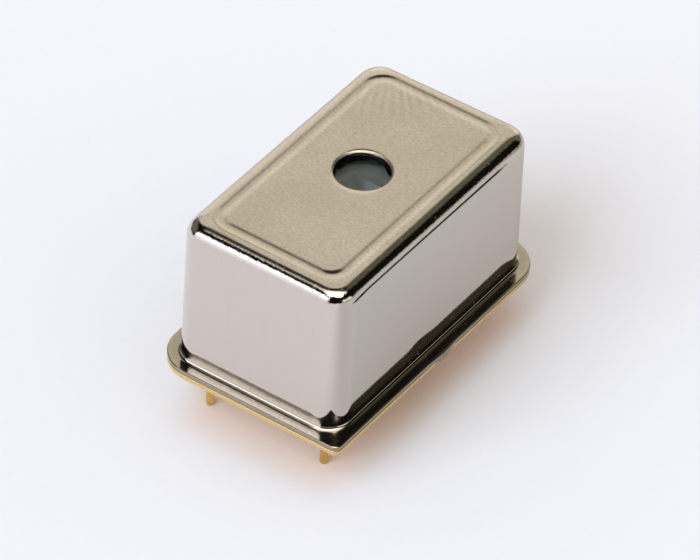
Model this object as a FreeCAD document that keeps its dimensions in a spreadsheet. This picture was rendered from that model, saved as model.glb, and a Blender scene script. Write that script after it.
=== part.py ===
import FreeCAD, Part
import math
import os
import Sketcher

# A mini spectrometer in a sealed metal can, in millimetres.
# X runs along the long side, Z is up, and the lead tips stand on z = 0.
# The drawn cap sits on a thin gold-plated stem, and both share one flange outline.
# Light comes in through the window, passes the chip's slit, is split by the grating and falls on the chip.

SIZES = [
    ("lead_pitch", "3.81", "distance between leads along a row"),
    ("row_gap", "7.62", "distance between the two rows of leads"),
    ("leads_per_row", "5", "leads in each row"),
    ("lead_diameter", "0.46", "lead wire"),
    ("lead_out", "3.4", "lead below the stem's underside"),
    ("bead_diameter", "1.2", "glass bead round a lead"),
    ("bead_recess", "0.06", "bead below the stem's faces"),
    ("bead_land", "0.58", "stem metal left outside the beads"),
    ("platform_gap", "0.2", "clearance between the stem's platform and the cap"),
    ("stem_rim", "0.3", "thickness of the stem's rim"),
    ("stem_platform", "1.2", "thickness of the stem inside the cap"),
    ("metal", "0.25", "thickness of the cap's sheet"),
    ("cap_height", "9.6", "flange underside to lid"),
    ("end_reach", "0.8", "flange beyond the cap's short walls"),
    ("side_reach", "0.76", "flange beyond the cap's long walls"),
    ("flange_corner", "2.3", "radius of three flange corners"),
    ("index_corner", "0.4", "radius of the flange corner that marks lead one"),
    ("wall_corner", "1.45", "outer radius between the cap's walls"),
    ("lid_round", "0.8", "outer radius between lid and walls"),
    ("foot_round", "0.2", "radius between walls and flange"),
    ("mouth_bevel", "0.26", "bevel round the cap's mouth"),
    ("draw_angle", "0.6", "lean of the drawn walls in degrees"),
    ("window_shift", "0.43", "window centre from the can's centre, along the length"),
    ("window_diameter", "3.4", "hole punched in the lid"),
    ("ring_inset", "1.37", "coined ring's centre line inside the lid's edge"),
    ("ring_corner", "1.1", "corner radius of the coined ring"),
    ("ring_breadth", "0.7", "breadth of the coined ring"),
    ("ring_depth", "0.03", "depth of the coined ring"),
    ("tie_breadth", "2.1", "sheared tie-bar mark along the flange"),
    ("tie_reach", "0.1", "how far the tie-bar mark stands out"),
    ("seal_height", "0.25", "sealing glass between lid and window"),
    ("seal_breadth", "0.7", "breadth of the sealing glass ring"),
    ("seal_step", "0.1", "sealing glass set back from the hole"),
    ("glass_height", "0.5", "thickness of the window glass"),
    ("glass_land", "0.1", "window glass beyond the sealing ring"),
    ("window_gap", "0.6", "space between window glass and wiring plate"),
    ("plate_height", "1.0", "thickness of the wiring plate"),
    ("plate_land", "0.45", "ceramic left outside the leads"),
    ("plate_corner", "0.6", "corner radius of the wiring plate"),
    ("aperture_length", "1.0", "light opening in the wiring plate, lower edge, along the length"),
    ("aperture_width", "1.4", "light opening in the wiring plate, lower edge, across"),
    ("aperture_angle", "20", "lean of the light opening's sides in degrees"),
    ("housing_shift", "-1.0", "housing centre from the can's centre"),
    ("housing_length", "9.6", "hollow housing along the length"),
    ("housing_gap", "0.35", "clearance between housing and leads"),
    ("housing_wall", "0.8", "wall of the housing"),
    ("substrate_height", "1.8", "thickness of the grating substrate"),
    ("bowl_rim", "0.2", "flat between the bowl and the housing's inner wall"),
    ("bowl_depth", "0.4", "depth of the concave bowl"),
    ("layer_height", "0.08", "thickness of the replicated grating layer"),
    ("chip_gap", "0.6", "clearance between chip and housing"),
    ("chip_height", "0.4", "thickness of the image sensor chip"),
    ("slit_width", "0.06", "entrance slit along the can"),
    ("slit_length", "0.5", "entrance slit across the can"),
    ("etch_angle", "35.3", "lean of the slit's etched sides in degrees"),
    ("bump_height", "0.1", "joint between chip and wiring plate"),
    ("bump_side", "0.2", "side of a square bump"),
    ("bump_edge", "0.3", "bump centre inside the chip's edge"),
    ("bumps_per_row", "6", "bumps along each long side of the chip"),
    ("cover_height", "0.3", "thickness of the cover glass"),
    ("cover_step", "0.25", "cover glass inside the chip's edge"),
]

# Sizes that follow from the ones above
LEAD_SPAN = "(sizes.leads_per_row - 1) * sizes.lead_pitch"
LEAD_RADIUS = "sizes.lead_diameter / 2"
WALL_BEYOND_LEAD = "sizes.bead_diameter / 2 + sizes.bead_land + sizes.platform_gap + sizes.metal"
WALL_LENGTH = f"({LEAD_SPAN} + 2 * ({WALL_BEYOND_LEAD}))"
WALL_WIDTH = f"(sizes.row_gap + 2 * ({WALL_BEYOND_LEAD}))"
FLANGE_LENGTH = f"({WALL_LENGTH} + 2 * sizes.end_reach)"
FLANGE_WIDTH = f"({WALL_WIDTH} + 2 * sizes.side_reach)"
CAVITY_LENGTH = f"({WALL_LENGTH} - 2 * sizes.metal)"
CAVITY_WIDTH = f"({WALL_WIDTH} - 2 * sizes.metal)"
CAVITY_HEIGHT = "(sizes.cap_height - sizes.metal)"
CAVITY_CORNER = "(sizes.wall_corner - sizes.metal)"
CAP_FOOT = "sizes.lead_out + sizes.stem_rim"
STEM_TOP = "sizes.lead_out + sizes.stem_platform"
SEAL_TOP = f"{CAP_FOOT} + {CAVITY_HEIGHT}"
GLASS_TOP = f"{SEAL_TOP} - sizes.seal_height"
PLATE_TOP = f"{GLASS_TOP} - sizes.glass_height - sizes.window_gap"
PLATE_FOOT = f"{PLATE_TOP} - sizes.plate_height"
CHIP_FOOT = f"{PLATE_FOOT} - sizes.bump_height - sizes.chip_height"
SUBSTRATE_TOP = f"{STEM_TOP} + sizes.substrate_height"
SEAL_INNER = "(sizes.window_diameter / 2 + sizes.seal_step)"
SEAL_OUTER = f"({SEAL_INNER} + sizes.seal_breadth)"
PLATE_BEYOND_LEAD = f"({LEAD_RADIUS} + sizes.plate_land)"
HOUSING_WIDTH = f"(sizes.row_gap - sizes.lead_diameter - 2 * sizes.housing_gap)"
CHAMBER_LENGTH = "(sizes.housing_length - 2 * sizes.housing_wall)"
CHAMBER_WIDTH = f"({HOUSING_WIDTH} - 2 * sizes.housing_wall)"
BOWL_RADIUS = f"({CHAMBER_WIDTH} / 2 - sizes.bowl_rim)"
BOWL_SPHERE = f"(({BOWL_RADIUS} ^ 2 + sizes.bowl_depth ^ 2) / (2 * sizes.bowl_depth))"
BOWL_CENTRE = f"{SUBSTRATE_TOP} - sizes.bowl_depth + {BOWL_SPHERE}"
CHIP_LENGTH = f"({CHAMBER_LENGTH} - 2 * sizes.chip_gap)"
CHIP_WIDTH = f"({CHAMBER_WIDTH} - 2 * sizes.chip_gap)"

EDGE_TOLERANCE = 0.001
QUARTER_TURN = math.pi / 2

doc = FreeCAD.newDocument("mini_spectrometer")
sheet = doc.addObject("Spreadsheet::Sheet", "sizes")
for row, (alias, value, meaning) in enumerate(SIZES, start=1):
    sheet.set(f"A{row}", meaning)
    sheet.set(f"B{row}", value)
    sheet.setAlias(f"B{row}", alias)
doc.recompute()


def number(expression):
    """The value of an expression on the sheet."""
    return float(sheet.evalExpression(expression.replace("sizes.", "")))


def bind(item, bindings):
    """Tie properties of an object to expressions on the sheet."""
    for name, expression in bindings.items():
        item.setExpression(name, expression)
    return item


def new_body(label, **bindings):
    body = doc.addObject("PartDesign::Body", label)
    body.Label = label
    return bind(body, {f"Placement.Base.{axis}": place for axis, place in bindings.items()})


def new_sketch(body, name, role="XY_Plane", **offset):
    """An empty sketch on one of the body's own origin planes."""
    plane = next(item for item in body.Origin.OriginFeatures if item.Role == role)
    sketch = body.newObject("Sketcher::SketchObject", f"{body.Name}_{name}")
    sketch.AttachmentSupport = (plane, [""])
    sketch.MapMode = "FlatFace"
    return bind(sketch, {f"AttachmentOffset.Base.{axis}": place for axis, place in offset.items()})


def constrain(sketch, name, expression, *constraint):
    """A dimension that is tied to the sheet."""
    index = sketch.addConstraint(Sketcher.Constraint(*constraint, number(expression)))
    sketch.renameConstraint(index, name)
    sketch.setExpression(f"Constraints.{name}", expression)


def outline(body, name, length, width, corner, index_corner=None, **offset):
    """A rectangle with round corners about the sketch's centre; the front left corner may differ."""
    sketch = new_sketch(body, name, **offset)
    half_length = number(length) / 2
    half_width = number(width) / 2
    radii = [number(corner)] * 3 + [number(index_corner or corner)]
    corners = [
        FreeCAD.Vector(half_length, -half_width, 0),
        FreeCAD.Vector(half_length, half_width, 0),
        FreeCAD.Vector(-half_length, half_width, 0),
        FreeCAD.Vector(-half_length, -half_width, 0),
    ]
    for side, corner_point in enumerate(corners):
        before = corners[side - 1]
        run = (corner_point - before).normalize()
        start = before + run * radii[side - 1]
        end = corner_point - run * radii[side]
        sketch.addGeometry(Part.LineSegment(start, end), False)
    for side, corner_point in enumerate(corners):
        inward = FreeCAD.Vector(-math.copysign(1, corner_point.x), -math.copysign(1, corner_point.y), 0)
        circle = Part.Circle(corner_point + inward * radii[side], FreeCAD.Vector(0, 0, 1), radii[side])
        first_angle = (side - 1) * QUARTER_TURN
        sketch.addGeometry(Part.ArcOfCircle(circle, first_angle, first_angle + QUARTER_TURN), False)
    for side in range(4):
        arc = side + 4
        sketch.addConstraint(Sketcher.Constraint("Tangent", side, 2, arc, 1))
        sketch.addConstraint(Sketcher.Constraint("Tangent", arc, 2, (side + 1) % 4, 1))
        sketch.addConstraint(Sketcher.Constraint("Vertical" if side % 2 else "Horizontal", side))
    constrain(sketch, "corner", corner, "Radius", 4)
    for arc in (5, 6):
        sketch.addConstraint(Sketcher.Constraint("Equal", 4, arc))
    constrain(sketch, "index_corner", index_corner or corner, "Radius", 7)
    constrain(sketch, "front", f"{width} / 2", "DistanceY", 0, 1, -1, 1)
    constrain(sketch, "right", f"{length} / 2", "DistanceX", -1, 1, 1, 1)
    constrain(sketch, "back", f"{width} / 2", "DistanceY", -1, 1, 2, 1)
    constrain(sketch, "left", f"{length} / 2", "DistanceX", 3, 1, -1, 1)
    return sketch


def rectangle(body, name, length, width, **offset):
    """A rectangle about the sketch's centre."""
    sketch = new_sketch(body, name, **offset)
    half_length = number(length) / 2
    half_width = number(width) / 2
    corners = [
        FreeCAD.Vector(-half_length, -half_width, 0),
        FreeCAD.Vector(half_length, -half_width, 0),
        FreeCAD.Vector(half_length, half_width, 0),
        FreeCAD.Vector(-half_length, half_width, 0),
    ]
    for side, corner_point in enumerate(corners):
        sketch.addGeometry(Part.LineSegment(corner_point, corners[(side + 1) % 4]), False)
    for side in range(4):
        sketch.addConstraint(Sketcher.Constraint("Coincident", side, 2, (side + 1) % 4, 1))
        sketch.addConstraint(Sketcher.Constraint("Vertical" if side % 2 else "Horizontal", side))
    sketch.addConstraint(Sketcher.Constraint("Symmetric", 0, 1, 1, 2, -1, 1))
    constrain(sketch, "length", length, "DistanceX", 0, 1, 0, 2)
    constrain(sketch, "width", width, "DistanceY", 1, 1, 1, 2)
    return sketch


def disc(body, name, radius, **offset):
    """A circle about the sketch's centre."""
    sketch = new_sketch(body, name, **offset)
    sketch.addGeometry(Part.Circle(FreeCAD.Vector(), FreeCAD.Vector(0, 0, 1), number(radius)), False)
    sketch.addConstraint(Sketcher.Constraint("Coincident", 0, 3, -1, 1))
    constrain(sketch, "radius", radius, "Radius", 0)
    return sketch


def hole_pair(body, name, radius, **offset):
    """Two circles, one on each row of leads."""
    sketch = new_sketch(body, name, **offset)
    reach = number("sizes.row_gap") / 2
    for across in (-reach, reach):
        centre = FreeCAD.Vector(0, across, 0)
        sketch.addGeometry(Part.Circle(centre, FreeCAD.Vector(0, 0, 1), number(radius)), False)
    sketch.addConstraint(Sketcher.Constraint("Symmetric", 0, 3, 1, 3, -1, 1))
    sketch.addConstraint(Sketcher.Constraint("PointOnObject", 0, 3, -2))
    sketch.addConstraint(Sketcher.Constraint("Equal", 0, 1))
    constrain(sketch, "row_gap", "sizes.row_gap", "DistanceY", 0, 3, 1, 3)
    constrain(sketch, "radius", radius, "Radius", 0)
    return sketch


def extrude(body, kind, name, profile, depth, taper="0", upward=True):
    """A pad or a pocket; both run upward from their sketch unless told otherwise."""
    feature = body.newObject(f"PartDesign::{kind}", f"{body.Name}_{name}")
    feature.Profile = profile
    feature.Reversed = upward == (kind == "Pocket")
    bind(feature, {"Length": depth, "TaperAngle": taper})
    doc.recompute()
    return feature


def dress_edges(body, name, size, height, kind="Fillet", size_name="Radius"):
    """Rounds or bevels the last feature's edges that lie flat at a height, inside the flange's rim."""
    base = body.Tip
    level = number(height)
    rim = (number(FLANGE_LENGTH) / 2, number(FLANGE_WIDTH) / 2)
    chosen = []
    for index, edge in enumerate(base.Shape.Edges, start=1):
        box = edge.BoundBox
        flat = max(abs(box.ZMin - level), abs(box.ZMax - level)) < EDGE_TOLERANCE
        reach = (max(-box.XMin, box.XMax), max(-box.YMin, box.YMax))
        if flat and all(side < limit - EDGE_TOLERANCE for side, limit in zip(reach, rim)):
            chosen.append(f"Edge{index}")
    feature = body.newObject(f"PartDesign::{kind}", f"{body.Name}_{name}")
    feature.Base = (base, chosen)
    bind(feature, {size_name: size})
    doc.recompute()


def lead_holes(body, name, radius, foot, depth):
    """Holes for every lead, as one pair repeated along the rows."""
    pair = hole_pair(body, f"{name}_pair", radius, x=f"-({LEAD_SPAN}) / 2", z=foot)
    pocket = extrude(body, "Pocket", name, pair, depth)
    pattern = body.newObject("PartDesign::LinearPattern", f"{body.Name}_{name}_row")
    pattern.Originals = [pocket]
    pattern.Direction = (pair, ["H_Axis"])
    bind(pattern, {"Length": LEAD_SPAN, "Occurrences": "sizes.leads_per_row"})
    body.Tip = pattern
    doc.recompute()
    return pattern


def flange_outline(body):
    return outline(
        body, "flange_outline", FLANGE_LENGTH, FLANGE_WIDTH, "sizes.flange_corner", "sizes.index_corner"
    )


def cylinder(name, radius, height, x="0", y="0", z="0"):
    """An upright cylinder with its foot at a place."""
    item = doc.addObject("Part::Cylinder", name)
    places = {"Placement.Base.x": x, "Placement.Base.y": y, "Placement.Base.z": z}
    return bind(item, {"Radius": radius, "Height": height, **places})


def block(name, length, width, height, x, z, y="0"):
    """A box with its foot centred at a place."""
    item = doc.addObject("Part::Box", name)
    places = {
        "Placement.Base.x": f"{x} - {length} / 2",
        "Placement.Base.y": f"{y} - {width} / 2",
        "Placement.Base.z": z,
    }
    return bind(item, {"Length": length, "Width": width, "Height": height, **places})


def sphere(name, radius, x, z):
    """A sphere whose poles point sideways, clear of the bowl that it cuts."""
    item = doc.addObject("Part::Sphere", name)
    item.Placement.Rotation = FreeCAD.Rotation(FreeCAD.Vector(0, 1, 0), 90)
    return bind(item, {"Radius": radius, "Placement.Base.x": x, "Placement.Base.z": z})


def boolean(kind, label, base, tool):
    item = doc.addObject(f"Part::{kind}", label)
    item.Label = label
    item.Base = base
    item.Tool = tool
    return item


def joined(label, items):
    item = doc.addObject("Part::MultiFuse", label)
    item.Label = label
    item.Shapes = items
    return item


def make_cap():
    """One drawn sheet: flange, leaning walls and lid, hollow by the sheet's thickness all round."""
    cap = new_body("cap", z=CAP_FOOT)
    extrude(cap, "Pad", "flange", flange_outline(cap), "sizes.metal")
    tie_bar_mark(cap)
    wall_outline = outline(cap, "wall_outline", WALL_LENGTH, WALL_WIDTH, "sizes.wall_corner")
    extrude(cap, "Pad", "walls", wall_outline, "sizes.cap_height", "-sizes.draw_angle")
    hollow_outline = outline(cap, "hollow_outline", CAVITY_LENGTH, CAVITY_WIDTH, CAVITY_CORNER)
    extrude(cap, "Pocket", "hollow", hollow_outline, CAVITY_HEIGHT, "-sizes.draw_angle")
    dress_edges(cap, "lid_edge", "sizes.lid_round", "sizes.cap_height")
    dress_edges(cap, "lid_inner", "sizes.lid_round - sizes.metal", CAVITY_HEIGHT)
    dress_edges(cap, "foot", "sizes.foot_round", "sizes.metal")
    dress_edges(cap, "mouth", "sizes.mouth_bevel", "0", "Chamfer", "Size")
    window = disc(cap, "window", "sizes.window_diameter / 2", x="sizes.window_shift", z=CAVITY_HEIGHT)
    extrude(cap, "Pocket", "window_hole", window, "sizes.metal")
    coined_ring(cap)
    return cap


def tie_bar_mark(cap):
    """The low swelling left where the flange was sheared from its strip, at the middle of the front edge."""
    sketch = new_sketch(cap, "tie_outline", y=f"-{FLANGE_WIDTH} / 2")
    half = number("sizes.tie_breadth") / 2
    reach = number("sizes.tie_reach")
    ends = (FreeCAD.Vector(-half, 0, 0), FreeCAD.Vector(half, 0, 0))
    sketch.addGeometry(Part.LineSegment(*ends), False)
    sketch.addGeometry(Part.Arc(ends[0], FreeCAD.Vector(0, -reach, 0), ends[1]), False)
    sketch.addConstraint(Sketcher.Constraint("Coincident", 0, 1, 1, 1))
    sketch.addConstraint(Sketcher.Constraint("Coincident", 0, 2, 1, 2))
    sketch.addConstraint(Sketcher.Constraint("PointOnObject", 0, 1, -1))
    sketch.addConstraint(Sketcher.Constraint("Symmetric", 0, 1, 0, 2, -1, 1))
    constrain(sketch, "breadth", "sizes.tie_breadth", "DistanceX", 0, 1, 0, 2)
    arc_radius = "((sizes.tie_breadth / 2) ^ 2 + sizes.tie_reach ^ 2) / (2 * sizes.tie_reach)"
    constrain(sketch, "bulge", arc_radius, "Radius", 1)
    extrude(cap, "Pad", "tie_mark", sketch, "sizes.metal")


def coined_ring(cap):
    """A shallow round-bottomed line pressed into the lid, parallel to its edge."""
    path = outline(
        cap,
        "ring_path",
        f"({WALL_LENGTH} - 2 * sizes.ring_inset)",
        f"({WALL_WIDTH} - 2 * sizes.ring_inset)",
        "sizes.ring_corner",
        z="sizes.cap_height",
    )
    ring_place = f"-({WALL_WIDTH} / 2 - sizes.ring_inset)"
    profile = new_sketch(cap, "ring_profile", "YZ_Plane", x=ring_place, y="sizes.cap_height")
    half = number("sizes.ring_breadth") / 2
    depth = number("sizes.ring_depth")
    ends = (FreeCAD.Vector(-half, 0, 0), FreeCAD.Vector(half, 0, 0))
    profile.addGeometry(Part.LineSegment(*ends), False)
    profile.addGeometry(Part.Arc(ends[0], FreeCAD.Vector(0, -depth, 0), ends[1]), False)
    profile.addConstraint(Sketcher.Constraint("Coincident", 0, 1, 1, 1))
    profile.addConstraint(Sketcher.Constraint("Coincident", 0, 2, 1, 2))
    profile.addConstraint(Sketcher.Constraint("PointOnObject", 0, 1, -1))
    profile.addConstraint(Sketcher.Constraint("Symmetric", 0, 1, 0, 2, -1, 1))
    constrain(profile, "breadth", "sizes.ring_breadth", "DistanceX", 0, 1, 0, 2)
    arc_radius = "((sizes.ring_breadth / 2) ^ 2 + sizes.ring_depth ^ 2) / (2 * sizes.ring_depth)"
    constrain(profile, "bulge", arc_radius, "Radius", 1)
    groove = cap.newObject("PartDesign::SubtractivePipe", "cap_ring")
    groove.Profile = profile
    groove.Spine = path
    doc.recompute()


def make_stem():
    """The flat rim under the flange and the thicker platform inside the cap, one gold-plated piece."""
    stem = new_body("stem", z="sizes.lead_out")
    extrude(stem, "Pad", "rim", flange_outline(stem), "sizes.stem_rim")
    length = f"({CAVITY_LENGTH} - 2 * sizes.platform_gap)"
    width = f"({CAVITY_WIDTH} - 2 * sizes.platform_gap)"
    corner = f"({CAVITY_CORNER} - sizes.platform_gap)"
    platform = outline(stem, "platform_outline", length, width, corner)
    extrude(stem, "Pad", "platform", platform, "sizes.stem_platform")
    lead_holes(stem, "bead_holes", "sizes.bead_diameter / 2", "0", "sizes.stem_platform")
    return stem


def lead_places():
    """Number and place of every lead: along the front row, then back along the rear row."""
    count = int(number("sizes.leads_per_row"))
    for index in range(count):
        along = f"(({index} - (sizes.leads_per_row - 1) / 2) * sizes.lead_pitch)"
        yield index + 1, along, "-sizes.row_gap / 2"
        yield 2 * count - index, along, "sizes.row_gap / 2"


def make_lead(label, x, y):
    """A straight wire, marked off at the stem: the end that solders outside, and the run up to its pad."""
    outer = cylinder(f"{label}_outside", LEAD_RADIUS, "sizes.lead_out", x, y)
    inside_height = f"{PLATE_FOOT} - sizes.lead_out"
    inner = cylinder(f"{label}_inside", LEAD_RADIUS, inside_height, x, y, "sizes.lead_out")
    lead = boolean("Fuse", label, outer, inner)
    lead.Refine = False
    return lead


def make_bead(label, x, y):
    """The glass ring that holds a lead in the stem and keeps it insulated."""
    foot = "(sizes.lead_out + sizes.bead_recess)"
    height = "(sizes.stem_platform - 2 * sizes.bead_recess)"
    glass = cylinder(f"{label}_glass", "sizes.bead_diameter / 2", height, x, y, foot)
    wire = cylinder(f"{label}_wire", LEAD_RADIUS, height, x, y, foot)
    return boolean("Cut", label, glass, wire)


def make_window():
    """The sealing ring under the lid and the glass disc that it holds."""
    centre = {"x": "sizes.window_shift"}
    ring = cylinder("seal_ring", SEAL_OUTER, "sizes.seal_height", z=GLASS_TOP, **centre)
    opening = cylinder("seal_opening", SEAL_INNER, "sizes.seal_height", z=GLASS_TOP, **centre)
    seal = boolean("Cut", "window_seal", ring, opening)
    glass_radius = f"{SEAL_OUTER} + sizes.glass_land"
    glass_foot = f"{GLASS_TOP} - sizes.glass_height"
    glass = cylinder("window_glass", glass_radius, "sizes.glass_height", z=glass_foot, **centre)
    return [seal, glass]


def make_optics_frame():
    """The ceramic wiring plate with the hollow housing under it."""
    frame = new_body("optics_frame", z=PLATE_FOOT)
    length = f"({LEAD_SPAN} + 2 * {PLATE_BEYOND_LEAD})"
    width = f"(sizes.row_gap + 2 * {PLATE_BEYOND_LEAD})"
    plate = outline(frame, "plate_outline", length, width, "sizes.plate_corner")
    extrude(frame, "Pad", "plate", plate, "sizes.plate_height")
    shift = {"x": "sizes.housing_shift"}
    housing = rectangle(frame, "housing_outline", "sizes.housing_length", HOUSING_WIDTH, **shift)
    chamber = rectangle(frame, "chamber_outline", CHAMBER_LENGTH, CHAMBER_WIDTH, **shift)
    depth = f"{PLATE_FOOT} - ({SUBSTRATE_TOP})"
    extrude(frame, "Pad", "housing", housing, depth, upward=False)
    extrude(frame, "Pocket", "chamber", chamber, depth, upward=False)
    opening = rectangle(
        frame, "aperture_outline", "sizes.aperture_length", "sizes.aperture_width", x="sizes.window_shift"
    )
    extrude(frame, "Pocket", "aperture", opening, "sizes.plate_height", "sizes.aperture_angle")
    return frame


def make_chip():
    """The image sensor, face down, with its slit etched through under the window."""
    chip = new_body("sensor_chip", x="sizes.housing_shift", z=CHIP_FOOT)
    dice = rectangle(chip, "outline", CHIP_LENGTH, CHIP_WIDTH)
    extrude(chip, "Pad", "silicon", dice, "sizes.chip_height")
    slit_place = "sizes.window_shift - sizes.housing_shift"
    slit = rectangle(chip, "slit_outline", "sizes.slit_width", "sizes.slit_length", x=slit_place)
    extrude(chip, "Pocket", "slit", slit, "sizes.chip_height", "sizes.etch_angle")
    return chip


def make_chip_bumps():
    """Two rows of bumps that carry the chip under the wiring plate."""
    count = int(number("sizes.bumps_per_row"))
    foot = f"{PLATE_FOOT} - sizes.bump_height"
    reach = f"({CHIP_LENGTH} / 2 - sizes.bump_edge)"
    across = f"({CHIP_WIDTH} / 2 - sizes.bump_edge)"
    bumps = []
    for index in range(count):
        x = f"sizes.housing_shift + {reach} * (2 * {index} / (sizes.bumps_per_row - 1) - 1)"
        for side, y in (("front", f"-{across}"), ("rear", across)):
            name = f"bump_{side}_{index + 1}"
            bumps.append(block(name, "sizes.bump_side", "sizes.bump_side", "sizes.bump_height", x, foot, y))
    return joined("chip_bumps", bumps)


def make_cover_glass():
    """The clear plate on the chip's light side."""
    length = f"({CHIP_LENGTH} - 2 * sizes.cover_step)"
    width = f"({CHIP_WIDTH} - 2 * sizes.cover_step)"
    foot = f"{CHIP_FOOT} - sizes.cover_height"
    return block("sensor_cover_glass", length, width, "sizes.cover_height", "sizes.housing_shift", foot)


def make_grating():
    """The substrate with its concave bowl, and the ruled layer that lines the bowl."""
    centre = "sizes.housing_shift"
    thickness = "sizes.substrate_height"
    slab = block("substrate_slab", "sizes.housing_length", HOUSING_WIDTH, thickness, centre, STEM_TOP)
    hollow = sphere("substrate_bowl", BOWL_SPHERE, centre, BOWL_CENTRE)
    substrate = boolean("Cut", "grating_substrate", slab, hollow)
    lens = boolean("Common", "bowl_lens", slab, hollow)
    face = sphere("layer_face", f"{BOWL_SPHERE} - sizes.layer_height", centre, BOWL_CENTRE)
    layer = boolean("Cut", "grating_layer", lens, face)
    return [substrate, layer]


def check(item):
    """Stops the build if an object failed."""
    if {"Invalid", "Error"} & set(item.State):
        raise RuntimeError(f"{item.Label} failed: {item.State}")


pieces = [make_stem(), make_cap()]
pieces += make_window()
for lead_number, x_place, y_place in lead_places():
    pieces.append(make_lead(f"lead_{lead_number}", x_place, y_place))
    pieces.append(make_bead(f"glass_bead_{lead_number}", x_place, y_place))
pieces += [make_optics_frame(), make_chip(), make_chip_bumps(), make_cover_glass()]
pieces += make_grating()
doc.recompute()

for thing in doc.Objects:
    check(thing)
for piece in pieces:
    if piece.Shape.isNull() or not piece.Shape.isValid():
        raise RuntimeError(f"{piece.Label} has no valid shape")

os.makedirs("parts", exist_ok=True)
for piece in pieces:
    piece.Shape.exportStep(os.path.join("parts", f"{piece.Label}.step"))
    box = piece.Shape.BoundBox
    spans = f"{box.XLength:.2f} x {box.YLength:.2f} x {box.ZLength:.2f}"
    print(f"{piece.Label}: {spans}, {piece.Shape.Volume:.2f} mm3")
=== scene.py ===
# %% [markdown]
# # A mini spectrometer, dressed for its photograph
#
# The object is a sealed metal can, 20 mm long. A nickel-plated cap, drawn from one sheet,
# stands on a thin gold-plated stem. Ten gold-plated leads come out of the stem, each one
# through a bead of fused glass. Light enters through a round window in the lid.
#
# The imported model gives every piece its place. This lesson gives each piece its finish, and
# remakes the pieces that the camera sees, because a mirror finish shows each facet of a
# coarse mesh.

# %% Load the frame
import math

import bmesh
import bpy
from mathutils import Matrix, Vector, noise


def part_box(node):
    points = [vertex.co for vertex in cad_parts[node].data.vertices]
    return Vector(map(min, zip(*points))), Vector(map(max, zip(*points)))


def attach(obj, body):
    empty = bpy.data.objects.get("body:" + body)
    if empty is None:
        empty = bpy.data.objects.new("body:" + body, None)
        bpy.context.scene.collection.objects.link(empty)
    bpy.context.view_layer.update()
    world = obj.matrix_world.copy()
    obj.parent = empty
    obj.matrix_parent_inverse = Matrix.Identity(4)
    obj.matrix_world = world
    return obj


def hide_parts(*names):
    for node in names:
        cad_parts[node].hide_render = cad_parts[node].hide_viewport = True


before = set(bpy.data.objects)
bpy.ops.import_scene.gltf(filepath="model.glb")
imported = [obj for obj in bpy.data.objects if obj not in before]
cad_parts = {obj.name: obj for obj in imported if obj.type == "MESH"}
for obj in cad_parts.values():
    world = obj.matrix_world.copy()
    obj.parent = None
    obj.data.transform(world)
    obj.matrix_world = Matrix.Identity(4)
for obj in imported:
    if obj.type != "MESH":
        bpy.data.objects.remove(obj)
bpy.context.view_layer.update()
MM = 0.001
print("The packed model has", len(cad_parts), "pieces")

# %% [markdown]
# ## Sizes
#
# Sizes are written in millimetres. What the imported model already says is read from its
# boxes. Only the sizes that a box can't tell, such as a corner's radius, are named here.

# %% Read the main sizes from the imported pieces
def low(node):
    """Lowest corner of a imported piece, in millimetres."""
    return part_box(node)[0] / MM


def high(node):
    """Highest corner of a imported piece, in millimetres."""
    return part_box(node)[1] / MM


FLANGE_HALF_LENGTH = high("cap").x
FLANGE_HALF_WIDTH = high("cap").y
TIE_REACH = -low("cap").y - FLANGE_HALF_WIDTH
CAP_FOOT = low("cap").z
LID_TOP = high("cap").z
WINDOW_X = (low("window_glass").x + high("window_glass").x) / 2
print(f"Flange {2 * FLANGE_HALF_LENGTH:.2f} x {2 * FLANGE_HALF_WIDTH:.2f} mm, lid at {LID_TOP:.2f} mm")

# %% Sizes of the drawn cap that its box can't tell
SHEET = 0.25
WALL_HALF_LENGTH = 9.25
WALL_HALF_WIDTH = 5.44
WALL_CORNER = 1.45
DRAW_LEAN = 0.098
LID_ROUND = 0.8
FOOT_ROUND = 0.2
FLANGE_CORNER = 2.3
INDEX_CORNER = 0.4
RIM_ROUND = 0.06
WINDOW_RADIUS = 1.7
FLANGE_TOP = CAP_FOOT + SHEET
print(f"Sheet {SHEET} mm thick, flange's upper side at {FLANGE_TOP:.2f} mm")

# %% [markdown]
# ## The stage
#
# The photograph was taken from above the short side, with a long lens. A long lens far away
# keeps parallel edges nearly parallel. The camera's place follows from the point that it
# looks at, its distance and three angles.

# %% Place the camera
LENS = 335.4
AIM_POINT = Vector((-0.919, -0.477, 6.65))
AIM_DISTANCE = 354.32
CAMERA_ANGLES = (48.762, -2.512, -54.832)

camera_data = bpy.data.cameras.new("camera")
camera_data.lens = LENS
camera_data.sensor_width = 36
camera_data.clip_start = 10 * MM
camera = bpy.data.objects.new("camera", camera_data)
turn = Matrix.Rotation(math.radians(CAMERA_ANGLES[2]), 4, "Z")
turn = turn @ Matrix.Rotation(math.radians(CAMERA_ANGLES[1]), 4, "Y")
turn = turn @ Matrix.Rotation(math.radians(CAMERA_ANGLES[0]), 4, "X")
look_back = turn @ Vector((0, 0, 1))
place = (AIM_POINT + look_back * AIM_DISTANCE) * MM
camera.matrix_world = Matrix.Translation(place) @ turn
bpy.context.scene.collection.objects.link(camera)
bpy.context.scene.camera = camera
bpy.context.scene.view_settings.view_transform = "Standard"
print("The camera stands at", [round(value / MM) for value in place], "mm")

# %% [markdown]
# ## Colours and nodes
#
# A colour is written the way a painter's program shows it, as an sRGB hex value. Blender's
# shaders count light, so one function turns the hex value into a linear colour. Another
# function adds a node with its settings and its links, because a node tree is easier to
# read when each node takes one call.

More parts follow.
